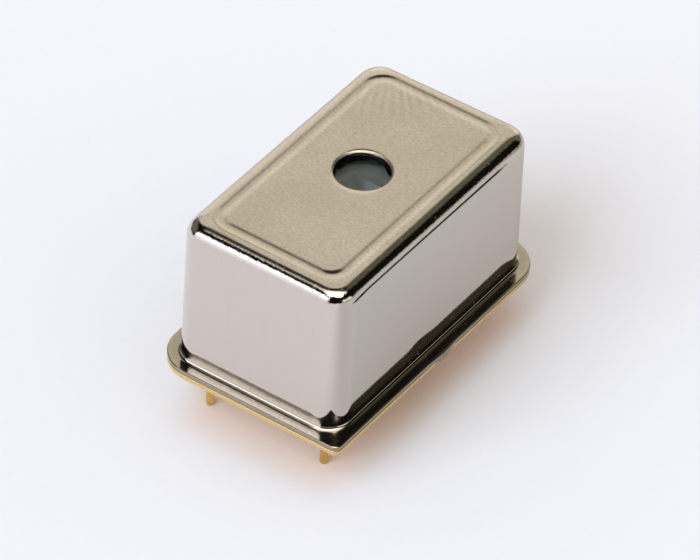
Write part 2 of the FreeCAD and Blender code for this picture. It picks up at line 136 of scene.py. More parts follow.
# %% Two helpers for every material
def linear(hex_value):
    """The linear colour, with alpha, of an sRGB hex value."""
    channels = [int(hex_value[index : index + 2], 16) / 255 for index in (1, 3, 5)]
    light = [c / 12.92 if c <= 0.04045 else ((c + 0.055) / 1.055) ** 2.4 for c in channels]
    return (*light, 1.0)


def add_node(tree, kind, inputs=None, **settings):
    """A node with its settings. An input is a value, or the output socket that feeds it."""
    node = tree.nodes.new(f"ShaderNode{kind}")
    for name, value in settings.items():
        setattr(node, name, value)
    for name, value in (inputs or {}).items():
        if isinstance(value, bpy.types.NodeSocket):
            tree.links.new(value, node.inputs[name])
        else:
            node.inputs[name].default_value = value
    return node


print("Middle grey, #808080, is", round(linear("#808080")[0], 3), "of white's light")


# %% [markdown]
# ## The studio
#
# Polished metal has hardly a colour of its own: it shows the room. The photograph's studio
# can be read in the rounded edge of the lid, where each line of the rounding mirrors another
# height of the room. It shows a cream card behind the object, a white soft box on the left
# that gets brighter upwards, a warm soft box overhead, two pale strips low on the right, and
# darkness elsewhere. Two dim cards keep the lid from going black in the other views.
#
# The panels could be lamps and planes. Here they are painted on the world, by direction,
# because they then light every view alike and stand in nobody's way. The camera itself sees
# the world as the same pale paper as the floor, and close to the horizon the metal and the
# glass see that paper too.

# %% Masks for the panels
BEYOND = 2.0
PLANE_START = 0.06
PLANE_FADE = 0.04
LEAST_AHEAD = 0.01

world = bpy.data.worlds.new("studio")
world.use_nodes = True
bpy.context.scene.world = world
sky = world.node_tree
sky.nodes.clear()
direction = add_node(sky, "TexCoord").outputs["Generated"]


def within(tree, value, start, end, soft):
    """1 where the value lies between start and end, 0 outside, with soft edges."""
    mask = 1.0
    for edge, side in ((start, 1), (end, -1)):
        limits = {"Value": value, "From Min": edge - side * soft, "From Max": edge + side * soft}
        rise = add_node(tree, "MapRange", limits, interpolation_type="SMOOTHSTEP").outputs["Result"]
        mask = add_node(tree, "Math", {0: rise, 1: mask}, operation="MULTIPLY").outputs[0]
    return mask


def flat_panel(facing, sideways, upwards, soft):
    """Mask of a flat panel that faces the object. Only directions towards its side count.

    Facing is its turn round the object and its height, in degrees. Sideways and upwards are
    the places of its edges, and soft is how far they fade, in shares of its distance.
    """
    turn, rise = (math.radians(angle) for angle in facing)
    settings = {"rotation_type": "EULER_XYZ", "invert": True}
    inputs = {"Vector": direction, "Rotation": (0, -rise, turn)}
    turned = add_node(sky, "VectorRotate", inputs, **settings).outputs[0]
    part = add_node(sky, "SeparateXYZ", {"Vector": turned}).outputs
    ahead = add_node(sky, "Math", {0: part["X"], 1: LEAST_AHEAD}, operation="MAXIMUM").outputs[0]
    mask = within(sky, part["X"], PLANE_START, BEYOND, PLANE_FADE)
    for axis, (start, end) in (("Y", sideways), ("Z", upwards)):
        aside = add_node(sky, "Math", {0: part[axis], 1: ahead}, operation="DIVIDE").outputs[0]
        inside = within(sky, aside, start, end, soft)
        mask = add_node(sky, "Math", {0: mask, 1: inside}, operation="MULTIPLY").outputs[0]
    return mask


print("World made:", world.name)


# %% Paint the studio
PAPER = "#F2F3F7"
DARKNESS = "#0E0B09"
DOME = "#E2DBD4"
HORIZON = 0.015
HORIZON_FADE = 0.012

height = add_node(sky, "SeparateXYZ", {"Vector": direction}).outputs["Z"]
panels = (
    # a dim card behind on the right
    (flat_panel((-8, 0), (-0.38, 0.5), (0.0, 1.3), 0.12), "#6B6956", 1.0),
    # two pale strips low on the right
    (flat_panel((-52, 0), (-0.4, 0.4), (-0.2, 0.08), 0.04), "#A3A091", 1.0),
    (flat_panel((-90, 0), (-0.32, 0.5), (0.05, 0.36), 0.06), "#F4F1EA", 1.0),
    # the cream card behind, with its brighter lower part
    (flat_panel((50, 0), (-1.2, 0.14), (0.0, 1.49), 0.1), "#EFE8D8", 0.98),
    (flat_panel((50, 0), (-1.2, 0.14), (-1.0, 0.7), 0.22), "#FFF6E6", 1.08),
    # a dim card behind on the left
    (flat_panel((90, 0), (-0.5, 0.5), (0.08, 0.75), 0.15), "#6E6A62", 1.0),
    # the white soft box on the left, brighter in three steps
    (flat_panel((161, 0), (-0.7, 0.52), (0.02, 0.97), 0.06), "#F8FAFF", 1.0),
    (flat_panel((161, 0), (-0.7, 0.52), (0.34, 0.97), 0.06), "#F8FAFF", 1.3),
    (flat_panel((161, 0), (-0.7, 0.52), (0.55, 0.97), 0.06), "#F8FAFF", 2.2),
    # the warm soft box overhead
    (flat_panel((29, 90), (-0.67, 0.47), (-0.13, 0.72), 0.11), "#FFF8EC", 3.0),
    # the paper, close to the horizon and below it
    (within(sky, height, -BEYOND, HORIZON, HORIZON_FADE), PAPER, 1.0),
)
painted = linear(DARKNESS)
for mask, colour, strength in panels:
    light = [channel * strength for channel in linear(colour)[:3]] + [1.0]
    mix = {"Factor": mask, "A": painted, "B": light}
    painted = add_node(sky, "Mix", mix, data_type="RGBA").outputs["Result"]

rays = add_node(sky, "LightPath").outputs
bounced = {0: rays["Is Glossy Ray"], 1: rays["Is Transmission Ray"]}
mirrored = add_node(sky, "Math", bounced, operation="MAXIMUM").outputs[0]
choice = {"Factor": mirrored, "A": linear(DOME), "B": painted}
room = add_node(sky, "Mix", choice, data_type="RGBA").outputs["Result"]
choice = {"Factor": rays["Is Camera Ray"], "A": room, "B": linear(PAPER)}
seen = add_node(sky, "Mix", choice, data_type="RGBA").outputs["Result"]
paint = add_node(sky, "Background", {"Color": seen})
add_node(sky, "OutputWorld", {"Surface": paint.outputs[0]})
print("The studio has", len(panels), "panels and", len(sky.nodes), "nodes")

# %% [markdown]
# The panels are there for mirrors and glass alone. The matt paper is lit by an even, warm grey
# dome, which keeps the shadow under the can pale, and by a wide soft lamp on the left, which
# draws the shadow out to the right. Together they give the open floor a light of about 1, at
# which a colour renders as it is written. Mirrors don't show this lamp, because they already
# show the soft box that it stands for.

# %% Hang the soft lamp
LAMP_STRENGTH = 1.65
LAMP_COLOUR = "#DCEDFF"
LAMP_ANGLE = 45
LAMP_FROM = Vector((-0.75, 0.15, 0.65))

lamp_data = bpy.data.lights.new("soft_lamp", "SUN")
lamp_data.energy = LAMP_STRENGTH
lamp_data.color = linear(LAMP_COLOUR)[:3]
lamp_data.angle = math.radians(LAMP_ANGLE)
lamp = bpy.data.objects.new("soft_lamp", lamp_data)
lamp.rotation_euler = LAMP_FROM.to_track_quat("Z", "Y").to_euler()
lamp.visible_glossy = False
bpy.context.scene.collection.objects.link(lamp)
off_vertical = math.degrees(LAMP_FROM.angle(Vector((0, 0, 1))))
print("The lamp stands", round(off_vertical), "degrees off the vertical")

# %% [markdown]
# ## The floor
#
# The floor is matt paper. It is far larger than the object, so that no view shows its edge,
# and it lies on the plane that the lead tips stand on. Real paper isn't one flat colour: its
# fibres make it slightly lighter and darker from spot to spot.
#
# The bright walls mirror this paper. In the photograph their lower part shows paper that the
# can itself shades, and their upper part shows the dim end of the table. Two soft bands of
# painted shade, seen by mirrors alone, stand for that. Under the can the gold plate throws a
# warm glow on the paper, and a faint warm tint, painted there as light, helps to show it.

# %% Lay the floor
FLOOR_HALF = 3000.0
FIBRE = 0.4
SHADED_PAPER = "#D2D0CF"
FAR_SHADED_PAPER = "#9A978A"
WARM_GLOW = "#FFEDE2"
BAND_TURN = 33
SHADED_BAND = (-12.0, 2.0)
FAR_BAND = (45.0, 110.0)
GLOW_ALONG = (-9.5, 9.5, 2.0)
GLOW_ACROSS = (-5.5, 4.5, 1.5)


def new_material(name):
    """An empty material: itself, its node tree, its output and its coordinates in mm."""
    material = bpy.data.materials.new(name)
    material.use_nodes = True
    tree = material.node_tree
    tree.nodes.clear()
    output = add_node(tree, "OutputMaterial")
    place = add_node(tree, "TexCoord").outputs["Object"]
    scale = (1 / MM, 1 / MM, 1 / MM)
    mm = add_node(tree, "Mapping", {"Vector": place, "Scale": scale}).outputs["Vector"]
    return material, tree, output, mm


def make_paper():
    material, tree, output, mm = new_material("matt_paper")
    fibres = add_node(tree, "TexNoise", {"Vector": mm, "Scale": 1 / FIBRE, "Detail": 2.0})
    tones = {"Factor": fibres.outputs[0], "A": linear("#F1F2F6"), "B": linear("#F4F4F8")}
    tone = add_node(tree, "Mix", tones, data_type="RGBA").outputs["Result"]

    turned = {"Vector": mm, "Rotation": (0, 0, math.radians(BAND_TURN))}
    side_on = add_node(tree, "Mapping", turned).outputs[0]
    along = add_node(tree, "SeparateXYZ", {"Vector": side_on}).outputs["X"]
    glossy = add_node(tree, "LightPath").outputs["Is Glossy Ray"]
    # Painted shade seen by mirrors alone: paper shaded by the can, and the dim far end of the table.
    for (start, end), shade in ((SHADED_BAND, SHADED_PAPER), (FAR_BAND, FAR_SHADED_PAPER)):
        fading = {"Value": along, "From Min": start, "From Max": end}
        far = add_node(tree, "MapRange", fading, interpolation_type="SMOOTHSTEP").outputs["Result"]
        share = add_node(tree, "Math", {0: far, 1: glossy}, operation="MULTIPLY").outputs[0]
        tones = {"Factor": share, "A": tone, "B": linear(shade)}
        tone = add_node(tree, "Mix", tones, data_type="RGBA").outputs["Result"]

    # Painted light: a warm tint under the can, hidden from mirrors, stands for the glow that the gold
    # plate throws.
    part = add_node(tree, "SeparateXYZ", {"Vector": mm}).outputs
    near = add_node(tree, "Math", {0: 1.0, 1: glossy}, operation="SUBTRACT").outputs[0]
    for mask in (within(tree, part["X"], *GLOW_ALONG), within(tree, part["Y"], *GLOW_ACROSS)):
        near = add_node(tree, "Math", {0: near, 1: mask}, operation="MULTIPLY").outputs[0]
    tones = {"Factor": near, "A": linear("#FFFFFF"), "B": linear(WARM_GLOW)}
    glow = add_node(tree, "Mix", tones, data_type="RGBA").outputs["Result"]
    tones = {"Factor": 1.0, "A": tone, "B": glow}
    tone = add_node(tree, "Mix", tones, data_type="RGBA", blend_type="MULTIPLY").outputs["Result"]

    paper = add_node(tree, "BsdfDiffuse", {"Color": tone, "Roughness": 0.5})
    tree.links.new(paper.outputs[0], output.inputs["Surface"])
    return material


floor_mesh = bpy.data.meshes.new("floor")
bm = bmesh.new()
bmesh.ops.create_grid(bm, x_segments=1, y_segments=1, size=FLOOR_HALF * MM)
bm.to_mesh(floor_mesh)
bm.free()
floor = bpy.data.objects.new("floor", floor_mesh)
floor.data.materials.append(make_paper())
bpy.context.scene.collection.objects.link(floor)
print("The floor is", 2 * FLOOR_HALF, "mm wide")

# %% [markdown]
# ## Nickel plate
#
# The cap is drawn from rolled sheet, and then plated with nickel. Drawing slides the walls
# along a polished die, so they come out bright, with faint upright streaks. The lid is never
# rubbed and keeps the sheet's satin grain: short streaks along the rolling direction, a few
# pits, and fine ripples where the metal gathered at one corner. Punched edges are rougher.
#
# One material does all this, because it is one piece of metal. Masks made from the place on
# the cap choose the tone and the roughness. The ripples are painted shading, drawn in the lid's
# tone alone, and the pits are painted darker as shade besides being sunk. Nickel is warm grey:
# it mirrors red more than blue. The lid's rounding has small nicks from the die, and broad low
# waves keep the walls from mirroring like plate glass.

# %% Make the nickel
LID_SATIN = 0.17
FLANGE_SATIN = 0.12
WALL_BRIGHT = 0.07
PUNCHED = 0.38
UNEVEN_SATIN = 0.03
UNEVEN_WALL = 0.02
LID_TONES = ("#C6BFB5", "#DCD6CD")
PATCH_TONES = ("#E6E2DA", "#FFFFFF")
FLANGE_TONES = ("#A39B8D", "#B4AD9F")
WALL_TONES = ("#E0D8D2", "#E4DCD6")
PIT_SHADE = "#565044"

# Zones: from, to and how far the edge fades, in mm.
LID_ZONE = (LID_TOP - 0.12, LID_TOP + 1.0, 0.05)
BEND_ZONE = (LID_TOP - 0.7, LID_TOP - 0.1, 0.08)
FLANGE_ZONE = (CAP_FOOT - 1.0, FLANGE_TOP + 0.04, 0.03)
HOLE_ZONE = (-1.0, WINDOW_RADIUS + 0.03, 0.01)

GRAIN_WIDTH = 0.09
GRAIN_LENGTH = 0.24
MOTTLE = 0.16
MOTTLE_SHARE = 0.45
CONTRAST = (0.3, 0.7)
PATCH = 3.5
STREAK_WIDTH = 0.25
STREAK_LENGTH = 6.0
PIT_SPACING = 0.9
PIT_RADIUS = 0.05
PIT_RARITY = 1.6
LEAST_PIT = 0.0001
RIPPLE_CENTRE = (11.6, 5.6)
RIPPLES_PER_TURN = 84
RIPPLE_ZONE = (5.2, 7.4, 1.1)
RIPPLE_SHADING = 0.22
WAVE = 1.6
NICK = 0.12
GRAIN_HEIGHT = 0.001
NICK_HEIGHT = 0.009
PIT_DEPTH = 0.01
WAVE_HEIGHT = 0.003


def from_window_axis(tree, mm):
    """The distance from the window's upright axis, in millimetres."""
    centred = add_node(tree, "VectorMath", {0: mm, 1: (-WINDOW_X, 0, 0)}, operation="ADD").outputs[0]
    flat = add_node(tree, "VectorMath", {0: centred, 1: (1, 1, 0)}, operation="MULTIPLY").outputs[0]
    return add_node(tree, "VectorMath", {0: flat}, operation="LENGTH").outputs["Value"]


def make_nickel():
    material, tree, output, mm = new_material("nickel_plate_on_drawn_sheet")
    part = add_node(tree, "SeparateXYZ", {"Vector": mm}).outputs

    lid = within(tree, part["Z"], *LID_ZONE)
    flange = within(tree, part["Z"], *FLANGE_ZONE)
    bend = within(tree, part["Z"], *BEND_ZONE)
    hole = within(tree, from_window_axis(tree, mm), *HOLE_ZONE)

    grain_scale = (1 / GRAIN_WIDTH, 1 / GRAIN_LENGTH, 1 / GRAIN_LENGTH)
    stretched = add_node(tree, "Mapping", {"Vector": mm, "Scale": grain_scale}).outputs[0]
    grain = add_node(tree, "TexNoise", {"Vector": stretched, "Scale": 1.0, "Detail": 2.0}).outputs[0]
    mottle = add_node(tree, "TexNoise", {"Vector": mm, "Scale": 1 / MOTTLE, "Detail": 2.0}).outputs[0]
    cloud = add_node(tree, "TexNoise", {"Vector": mm, "Scale": 1 / PATCH, "Detail": 2.0}).outputs[0]
    draw_scale = (1 / STREAK_WIDTH, 1 / STREAK_WIDTH, 1 / STREAK_LENGTH)
    drawn = add_node(tree, "Mapping", {"Vector": mm, "Scale": draw_scale}).outputs[0]
    streaks = add_node(tree, "TexNoise", {"Vector": drawn, "Scale": 1.0, "Detail": 3.0}).outputs[0]

    # Painted shading: the ripples only shift the lid's tone, as fine light and dark streaks, and take no
    # part in the relief.
    corner = (-RIPPLE_CENTRE[0], -RIPPLE_CENTRE[1], 0)
    from_corner = add_node(tree, "VectorMath", {0: mm, 1: corner}, operation="ADD").outputs[0]
    fan = add_node(tree, "SeparateXYZ", {"Vector": from_corner}).outputs
    angle = add_node(tree, "Math", {0: fan["Y"], 1: fan["X"]}, operation="ARCTAN2").outputs[0]
    turns = add_node(tree, "Math", {0: angle, 1: RIPPLES_PER_TURN}, operation="MULTIPLY").outputs[0]
    wave = add_node(tree, "Math", {0: turns}, operation="SINE").outputs[0]
    spread = add_node(tree, "VectorMath", {0: from_corner, 1: (1, 1, 0)}, operation="MULTIPLY").outputs[0]
    spread = add_node(tree, "VectorMath", {0: spread}, operation="LENGTH").outputs["Value"]
    fan_area = within(tree, spread, *RIPPLE_ZONE)
    ripple_shading = add_node(tree, "Math", {0: wave, 1: fan_area}, operation="MULTIPLY").outputs[0]

    # Most cells draw a size below zero, and so have no pit.
    cells = {"Vector": mm, "Scale": 1 / PIT_SPACING}
    dots = add_node(tree, "TexVoronoi", cells, voronoi_dimensions="2D").outputs
    chance = add_node(tree, "SeparateColor", {"Color": dots["Color"]}).outputs["Red"]
    size = {"Value": chance, "To Min": -PIT_RARITY * PIT_RADIUS, "To Max": PIT_RADIUS / PIT_SPACING}
    size = add_node(tree, "MapRange", size).outputs["Result"]
    size = add_node(tree, "Math", {0: size, 1: LEAST_PIT}, operation="MAXIMUM").outputs[0]
    pit = {"Value": dots["Distance"], "From Min": size, "From Max": 0.0, "To Min": 0.0, "To Max": 1.0}
    pit = add_node(tree, "MapRange", pit).outputs["Result"]

    blend = add_node(tree, "Mix", {"Factor": MOTTLE_SHARE, "A": grain, "B": mottle}).outputs["Result"]
    limits = {"Value": blend, "From Min": CONTRAST[0], "From Max": CONTRAST[1]}
    blend = add_node(tree, "MapRange", limits).outputs["Result"]
    shift = {0: ripple_shading, 1: RIPPLE_SHADING, 2: blend}
    shift = add_node(tree, "Math", shift, operation="MULTIPLY_ADD").outputs[0]
    tones = {"Factor": shift, "A": linear(LID_TONES[0]), "B": linear(LID_TONES[1])}
    satin = add_node(tree, "Mix", tones, data_type="RGBA").outputs["Result"]
    tones = {"Factor": cloud, "A": linear(PATCH_TONES[0]), "B": linear(PATCH_TONES[1])}
    patches = add_node(tree, "Mix", tones, data_type="RGBA").outputs["Result"]
    tones = {"Factor": 1.0, "A": satin, "B": patches}
    satin = add_node(tree, "Mix", tones, data_type="RGBA", blend_type="MULTIPLY").outputs["Result"]
    # Painted shade: the pits are also darkened in tone, besides being sunk in the relief.
    tones = {"Factor": pit, "A": satin, "B": linear(PIT_SHADE)}
    satin = add_node(tree, "Mix", tones, data_type="RGBA").outputs["Result"]
    tones = {"Factor": blend, "A": linear(FLANGE_TONES[0]), "B": linear(FLANGE_TONES[1])}
    trimmed = add_node(tree, "Mix", tones, data_type="RGBA").outputs["Result"]
    tones = {"Factor": streaks, "A": linear(WALL_TONES[0]), "B": linear(WALL_TONES[1])}
    bright = add_node(tree, "Mix", tones, data_type="RGBA").outputs["Result"]
    tones = {"Factor": lid, "A": bright, "B": satin}
    colour = add_node(tree, "Mix", tones, data_type="RGBA").outputs["Result"]
    tones = {"Factor": flange, "A": colour, "B": trimmed}
    colour = add_node(tree, "Mix", tones, data_type="RGBA").outputs["Result"]

    limits = {"Value": cloud, "To Min": LID_SATIN - UNEVEN_SATIN, "To Max": LID_SATIN + UNEVEN_SATIN}
    satin_rough = add_node(tree, "MapRange", limits).outputs["Result"]
    limits = {"Value": streaks, "To Min": WALL_BRIGHT - UNEVEN_WALL, "To Max": WALL_BRIGHT + UNEVEN_WALL}
    bright_rough = add_node(tree, "MapRange", limits).outputs["Result"]
    rough = add_node(tree, "Mix", {"Factor": lid, "A": bright_rough, "B": satin_rough}).outputs["Result"]
    rough = add_node(tree, "Mix", {"Factor": flange, "A": rough, "B": FLANGE_SATIN}).outputs["Result"]
    rough = add_node(tree, "Mix", {"Factor": hole, "A": rough, "B": PUNCHED}).outputs["Result"]

    waves = add_node(tree, "TexNoise", {"Vector": mm, "Scale": 1 / WAVE, "Detail": 1.0}).outputs[0]
    nicks = add_node(tree, "TexNoise", {"Vector": mm, "Scale": 1 / NICK, "Detail": 3.0}).outputs[0]
    rough_bend = add_node(tree, "Math", {0: nicks, 1: bend}, operation="MULTIPLY").outputs[0]
    layers = ((grain, GRAIN_HEIGHT), (rough_bend, NICK_HEIGHT), (pit, -PIT_DEPTH), (waves, WAVE_HEIGHT))
    height = 0.0
    for layer, amount in layers:
        raised = {0: layer, 1: amount, 2: height}
        height = add_node(tree, "Math", raised, operation="MULTIPLY_ADD").outputs[0]
    relief = add_node(tree, "Bump", {"Height": height, "Strength": 1.0, "Distance": MM}).outputs[0]

    settings = {"Base Color": colour, "Metallic": 1.0, "Roughness": rough, "Normal": relief}
    metal = add_node(tree, "BsdfPrincipled", settings)
    tree.links.new(metal.outputs[0], output.inputs["Surface"])
    return material


nickel = make_nickel()
print("Nickel made with", len(nickel.node_tree.nodes), "nodes")

# %% [markdown]
# ## Gold plate
#
# The stem and the leads are an iron-nickel alloy, which glass sticks to, plated with a thin
# layer of gold so that they solder well. Gold is deep yellow because it mirrors little blue.
# The plate is satin, since the stamped metal under it is.

# %% Make the gold
UNEVEN_GOLD = 0.05


def make_gold(name, first, second, roughness, grain):
    material, tree, output, mm = new_material(name)
    matt = add_node(tree, "TexNoise", {"Vector": mm, "Scale": 1 / grain, "Detail": 3.0}).outputs[0]
    tones = {"Factor": matt, "A": linear(first), "B": linear(second)}
    colour = add_node(tree, "Mix", tones, data_type="RGBA").outputs["Result"]
    limits = {"Value": matt, "To Min": roughness - UNEVEN_GOLD, "To Max": roughness + UNEVEN_GOLD}
    rough = add_node(tree, "MapRange", limits).outputs["Result"]
    relief = add_node(tree, "Bump", {"Height": matt, "Strength": 0.3, "Distance": 0.01 * MM}).outputs[0]
    settings = {"Base Color": colour, "Metallic": 1.0, "Roughness": rough, "Normal": relief}
    metal = add_node(tree, "BsdfPrincipled", settings)
    tree.links.new(metal.outputs[0], output.inputs["Surface"])
    return material


gold_plate = make_gold("satin_gold_plate", "#F2CE8A", "#FADDA4", 0.25, 0.15)
gold_wire = make_gold("gold_plate_on_wire", "#EDBE6C", "#F6CF86", 0.28, 0.1)
gold_bump = make_gold("gold_solder_bumps", "#E9BC6A", "#F3CE84", 0.35, 0.05)
print("Three golds made")

# %% [markdown]
# ## Glass and ceramic
#
# The window is clear polished glass, so it is left to refract. Its coating makes it mirror less
# than bare glass, which a lower index stands for. The sealing glass is a glass powder that was
# melted in place, dark with metal oxides and glossy like tar. The beads round the leads are the
# same kind of glass. The frame inside is alumina, fired with dark pigment against stray light,
# with a matt grainy skin. Away from its opening it is painted paler, as painted light against
# the shade of the lid. The opening is painted lighter for the same reason, and the wall of the
# opening that faces the light has a painted pale, bluish gleam.

# %% Make the glasses and the ceramic
FILM = 0.004
UNEVEN_SHARE = 0.2
PLATE_TOP = high("optics_frame").z
CERAMIC_GRIT = 0.08
PIGMENTED = ("#3C4443", "#464F50")
PAINTED_LIGHT = "#8C9899"
PAINTED_LIGHT_FROM = 1.2
PAINTED_LIGHT_TO = 2.0
OPENING_LIGHT_TONE = "#55605F"
LIT_TONE = "#8A9AAA"

# Zones: from, to and how far the edge fades, in mm.
OPENING_HEIGHT = (PLATE_TOP - 1.3, PLATE_TOP - 0.02, 0.01)
OPENING_SPAN = (WINDOW_X - 0.9, WINDOW_X + 0.92, 0.02)
LIT_WALL = (WINDOW_X + 0.47, WINDOW_X + 0.92, 0.02)
LIT_PART = (-1.2, 0.3, 0.3)


def make_clear_glass(name, tint, roughness, smear, ior=1.5):
    material, tree, output, mm = new_material(name)
    film = add_node(tree, "TexNoise", {"Vector": mm, "Scale": 1 / smear, "Detail": 2.0}).outputs[0]
    limits = {"Value": film, "To Min": roughness, "To Max": roughness + FILM}
    rough = add_node(tree, "MapRange", limits).outputs["Result"]
    tones = {"Factor": film, "A": linear(tint), "B": linear("#FFFFFF")}
    colour = add_node(tree, "Mix", tones, data_type="RGBA").outputs["Result"]
    settings = {"Base Color": colour, "Roughness": rough, "IOR": ior, "Transmission Weight": 1.0}
    glass = add_node(tree, "BsdfPrincipled", settings)
    tree.links.new(glass.outputs[0], output.inputs["Surface"])
    return material


def make_solid(name, first, second, roughness, grain, relief_height, ior=1.5):
    material, tree, output, mm = new_material(name)
    speckle = add_node(tree, "TexNoise", {"Vector": mm, "Scale": 1 / grain, "Detail": 4.0}).outputs[0]
    tones = {"Factor": speckle, "A": linear(first), "B": linear(second)}
    colour = add_node(tree, "Mix", tones, data_type="RGBA").outputs["Result"]
    limits = {"Value": speckle}
    limits["To Min"] = roughness * (1 - UNEVEN_SHARE)
    limits["To Max"] = roughness * (1 + UNEVEN_SHARE)
    rough = add_node(tree, "MapRange", limits).outputs["Result"]
    relief = add_node(tree, "Bump", {"Height": speckle, "Strength": 0.5, "Distance": relief_height * MM})
    settings = {"Base Color": colour, "Roughness": rough, "Normal": relief.outputs[0], "IOR": ior}
    body = add_node(tree, "BsdfPrincipled", settings)
    tree.links.new(body.outputs[0], output.inputs["Surface"])
    return material


def make_ceramic():
    material, tree, output, mm = new_material("dark_fired_alumina")
    grit = {"Vector": mm, "Scale": 1 / CERAMIC_GRIT, "Detail": 4.0}
    speckle = add_node(tree, "TexNoise", grit).outputs[0]
    tones = {"Factor": speckle, "A": linear(PIGMENTED[0]), "B": linear(PIGMENTED[1])}
    colour = add_node(tree, "Mix", tones, data_type="RGBA").outputs["Result"]
    # Painted light: paler away from the window's axis, against the shade of the lid.
    limits = {"Value": from_window_axis(tree, mm), "From Min": PAINTED_LIGHT_FROM, "From Max": PAINTED_LIGHT_TO}
    outside = add_node(tree, "MapRange", limits).outputs["Result"]
    tones = {"Factor": outside, "A": colour, "B": linear(PAINTED_LIGHT)}
    colour = add_node(tree, "Mix", tones, data_type="RGBA").outputs["Result"]

    # Painted light: the opening is lighter, against its shade, and its wall that faces the light has a
    # painted pale, bluish gleam.
    part = add_node(tree, "SeparateXYZ", {"Vector": mm}).outputs
    opening = within(tree, part["Z"], *OPENING_HEIGHT)
    span = within(tree, part["X"], *OPENING_SPAN)
    lit_wall = within(tree, part["X"], *LIT_WALL)
    lit_part = within(tree, part["Y"], *LIT_PART)
    places = (((opening, span), OPENING_LIGHT_TONE), ((opening, lit_wall, lit_part), LIT_TONE))
    for masks, hex_value in places:
        share = 1.0
        for mask in masks:
            share = add_node(tree, "Math", {0: share, 1: mask}, operation="MULTIPLY").outputs[0]
        tones = {"Factor": share, "A": colour, "B": linear(hex_value)}
        colour = add_node(tree, "Mix", tones, data_type="RGBA").outputs["Result"]
    grains = {"Height": speckle, "Strength": 0.5, "Distance": 0.01 * MM}
    relief = add_node(tree, "Bump", grains).outputs[0]
    body = add_node(tree, "BsdfPrincipled", {"Base Color": colour, "Roughness": 0.6, "Normal": relief})
    tree.links.new(body.outputs[0], output.inputs["Surface"])
    return material


window_glass = make_clear_glass("polished_window_glass", "#E9F2EE", 0.0, 3.0, 1.4)
cover_glass = make_clear_glass("polished_cover_glass", "#EEF6F6", 0.0, 2.0)
ground_glass = make_clear_glass("ground_substrate_glass", "#DDE8E6", 0.35, 0.4)
sealing_glass = make_solid("fused_sealing_glass", "#040404", "#090807", 0.15, 0.3, 0.01, 1.25)
bead_glass = make_solid("fused_bead_glass", "#15181A", "#23282C", 0.1, 0.4, 0.02)
ceramic = make_ceramic()
print("Glasses and ceramic made")

# %% [markdown]
# ## Silicon and the grating
#
# The sensor chip is silicon: a hard grey mirror with a high index. The grating's ruled lines
# are under a micrometre apart, far too fine to draw, so much wider ones stand for them. They
# are a mirror film of metal on a moulded layer, which splits light into colours. A slight
# drift of tint hints at that here. Blender's wave texture turns 20 radians a unit.

# %% Make the silicon and the ruled film
RULING = 0.06 * math.tau
WAVE_TURN = 20
TINT_DRIFT = 3.0


def make_ruled_film():
    material, tree, output, mm = new_material("ruled_mirror_film")
    settings = {"wave_type": "BANDS", "bands_direction": "X", "wave_profile": "SIN"}
    ruling = {"Vector": mm, "Scale": math.tau / RULING / WAVE_TURN}
    lines = add_node(tree, "TexWave", ruling, **settings).outputs[0]
    drift = add_node(tree, "TexNoise", {"Vector": mm, "Scale": 1 / TINT_DRIFT}).outputs[0]
    tones = {"Factor": drift, "A": linear("#D9DCEA"), "B": linear("#E9E4D8")}
    colour = add_node(tree, "Mix", tones, data_type="RGBA").outputs["Result"]
    relief = add_node(tree, "Bump", {"Height": lines, "Strength": 0.4, "Distance": 0.01 * MM}).outputs[0]
    settings = {"Base Color": colour, "Metallic": 1.0, "Roughness": 0.08, "Normal": relief}
    film = add_node(tree, "BsdfPrincipled", settings)
    tree.links.new(film.outputs[0], output.inputs["Surface"])
    return material


silicon = make_solid("polished_silicon", "#3A3D45", "#474B54", 0.15, 0.5, 0.001, 2.4)
ruled_film = make_ruled_film()
print("Silicon and film made")

# %% [markdown]
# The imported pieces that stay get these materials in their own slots.

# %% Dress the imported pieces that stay
carried = {
    "optics_frame": ceramic,
    "sensor_chip": silicon,
    "chip_bumps": gold_bump,
    "sensor_cover_glass": cover_glass,
    "grating_substrate": ground_glass,
    "grating_layer": ruled_film,
}
for node, material in carried.items():
    packed = bpy.data.objects[node]
    if not packed.material_slots:
        packed.data.materials.append(material)
    for slot in packed.material_slots:
        slot.material = material
print("Dressed", ", ".join(carried))

# %% [markdown]
# ## Helpers for meshes
#
# Each new piece is built in a bmesh, Blender's mesh for editing. Its points are set in
# metres, with the piece's place in them, so that the finished object stays at the origin.

# %% Make an object that rides on the can
SHARP = math.radians(60)
FLAT = math.radians(1)

# Places nearer than these, in mm, count as one.
TOUCH = 0.01
SAME = 0.001


def point(x, y, z):
    """A place given in millimetres."""
    return Vector((x, y, z)) * MM


def finish_piece(bm, name, material, replaced, smooth=True):
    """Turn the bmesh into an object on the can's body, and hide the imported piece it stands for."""
    for face in bm.faces:
        face.smooth = smooth
    mesh = bpy.data.meshes.new(name)
    bm.to_mesh(mesh)
    bm.free()
    mesh.materials.append(material)
    piece = bpy.data.objects.new(name, mesh)
    bpy.context.scene.collection.objects.link(piece)
    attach(piece, "root")
    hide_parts(replaced)
    triangles = sum(len(polygon.vertices) - 2 for polygon in mesh.polygons)
    print(f"{name}: {triangles} triangles")


def round_off(bm, geom, width, steps, affect="EDGES"):
    """Round edges or corners. The width runs from the old edge to where the rounding starts."""
    bmesh.ops.bevel(
        bm,
        geom=geom,
        offset=width * MM,
        offset_type="OFFSET",
        segments=steps,
        profile=0.5,
        affect=affect,
        material=-1,
    )


